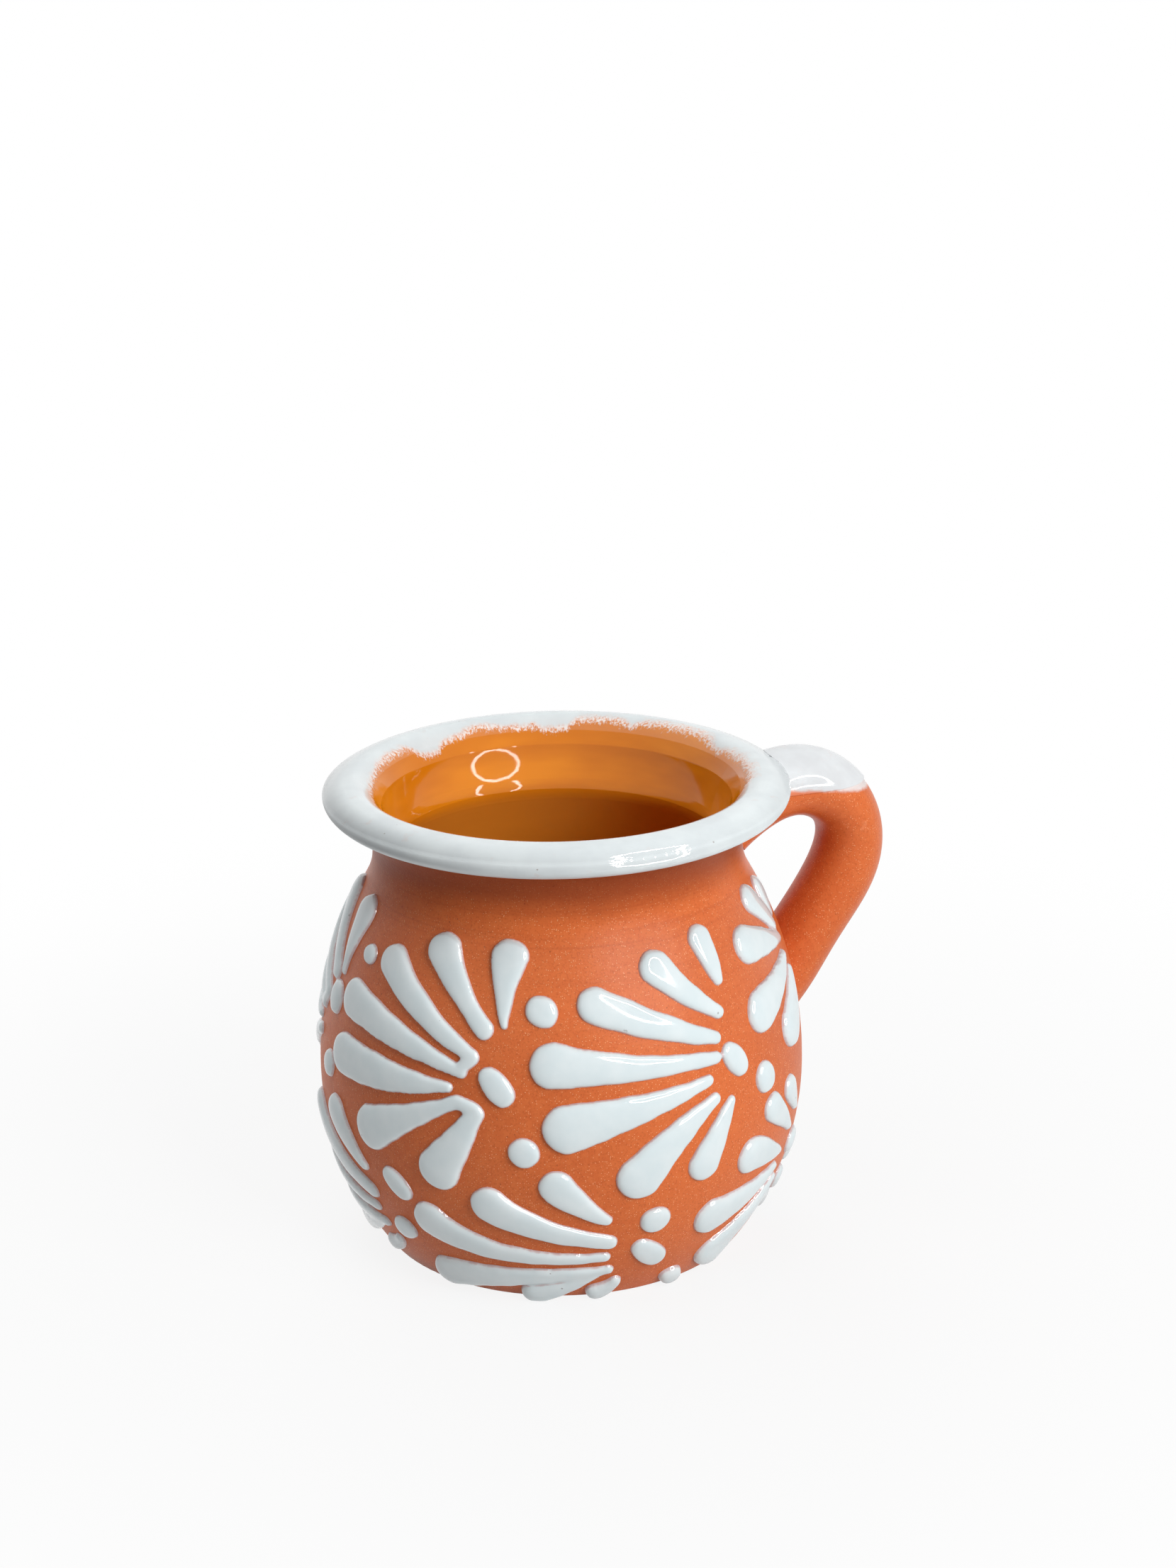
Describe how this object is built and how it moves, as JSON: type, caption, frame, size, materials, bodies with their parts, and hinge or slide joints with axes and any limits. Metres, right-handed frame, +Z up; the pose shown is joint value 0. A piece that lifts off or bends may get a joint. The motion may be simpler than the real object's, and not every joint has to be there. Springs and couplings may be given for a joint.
{
  "type": "clay mug",
  "caption": "Round-bellied terracotta mug with a rolled white lip, an amber glazed inside, a loop handle and raised white slip petals in fans round the belly.",
  "frame": {"origin": "middle of the flat foot, on the surface that the mug stands on", "axes": "+Z up along the pot's axis, +X towards the handle, +Y completes the right-handed frame"},
  "size_m": [0.1098, 0.0929, 0.088],
  "materials": {
    "terracotta": "satin burnished orange clay with a fine grain",
    "white_enamel": "thick glossy cool white glaze",
    "amber_glaze": "clear glossy glaze over the clay"
  },
  "bodies": {
    "root": {"clay_body": "terracotta", "handle": "terracotta", "lip_glaze": "white_enamel", "handle_glaze": "white_enamel", "inside_glaze": "amber_glaze", "fan_upper_1": "white_enamel", "fan_upper_2": "white_enamel", "fan_upper_3": "white_enamel", "fan_upper_4": "white_enamel", "fan_upper_5": "white_enamel", "fan_upper_6": "white_enamel", "fan_lower_1": "white_enamel", "fan_lower_2": "white_enamel", "fan_lower_3": "white_enamel", "fan_lower_4": "white_enamel", "fan_lower_5": "white_enamel", "fan_lower_6": "white_enamel"}
  },
  "joints": []
}
